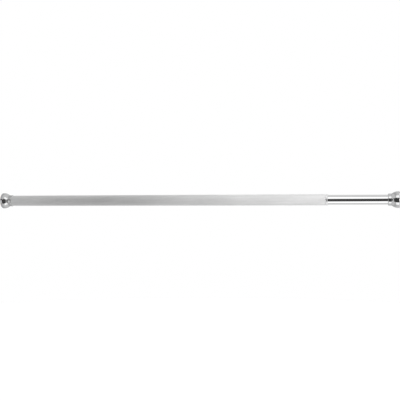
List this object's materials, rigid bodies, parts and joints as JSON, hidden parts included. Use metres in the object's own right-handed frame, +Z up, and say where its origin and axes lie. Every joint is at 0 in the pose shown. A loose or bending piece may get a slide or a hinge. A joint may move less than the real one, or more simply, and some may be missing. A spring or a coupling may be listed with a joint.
{
  "type": "spring tension rod",
  "caption": "Telescoping curtain rod that a twist lock and an inner spring hold between two facing walls, with flared end caps and rubber pads.",
  "frame": {"origin": "centre of the face that the fixed end's rubber pad presses on its wall", "axes": "+X along the rod, from the fixed end's wall to the sliding end's wall; +Z up; +Y away from the picture's camera"},
  "size_m": [0.97, 0.0382, 0.0382],
  "materials": {
    "satin_tube": "satin silver, very fine fleck",
    "polished_tube": "polished chrome plate",
    "chrome_trim": "polished chrome plate",
    "chrome_cap": "polished chrome plate",
    "nylon": "natural nylon",
    "pad_rubber": "pale grey non-marking rubber",
    "ring_rubber": "black rubber",
    "zinc_steel": "zinc plated",
    "spring_steel": "oiled spring steel"
  },
  "bodies": {
    "outer": {"outer_tube": "satin_tube", "mouth_collar": "chrome_trim", "fixed_end_cap": "chrome_cap", "fixed_end_plug": "nylon", "fixed_wall_pad": "pad_rubber"},
    "lock": {"lock_sleeve": "nylon", "grip_ring_near": "ring_rubber", "grip_ring_far": "ring_rubber"},
    "nut": {"cone_nut": "nylon"},
    "base": {"base_cone": "nylon", "thrust_washer": "zinc_steel"},
    "screw": {"screw_rod": "zinc_steel", "end_clip": "spring_steel", "spring_follower": "zinc_steel", "follower_clip": "spring_steel"},
    "inner": {"inner_tube": "polished_tube", "sliding_end_cap": "chrome_cap", "sliding_end_plug": "nylon", "sliding_wall_pad": "pad_rubber", "guide_bush": "nylon", "spring_stop": "nylon", "spring": "spring_steel"}
  },
  "joints": [
    {"name": "length_slide", "type": "slide", "parent": "outer", "child": "lock", "axis": [1, 0, 0], "range_m": [-0.096, 0.565]},
    {"name": "nut_travel", "type": "slide", "parent": "lock", "child": "nut", "axis": [1, 0, 0], "range_m": [-0.00151, 0.00106]},
    {"name": "base_travel", "type": "slide", "parent": "lock", "child": "base", "axis": [-1, 0, 0], "range_m": [-0.00151, 0.00106]},
    {"name": "twist", "type": "hinge", "parent": "base", "child": "screw", "pos_m": [0.18, 0, 0], "axis": [-1, 0, 0], "range_deg": [-360, 252], "deforming": ["lock_sleeve"]},
    {"name": "spring_stroke", "type": "slide", "parent": "screw", "child": "inner", "axis": [1, 0, 0], "range_m": [-0.035, 0], "stiffness_N_per_m": 3180, "springref_m": 0.006, "deforming": ["spring"]}
  ],
  "couplings": [
    {"joint": "nut_travel", "follows": "twist", "m_per_rad": 0.00023873},
    {"joint": "base_travel", "follows": "twist", "m_per_rad": 0.00023873}
  ]
}
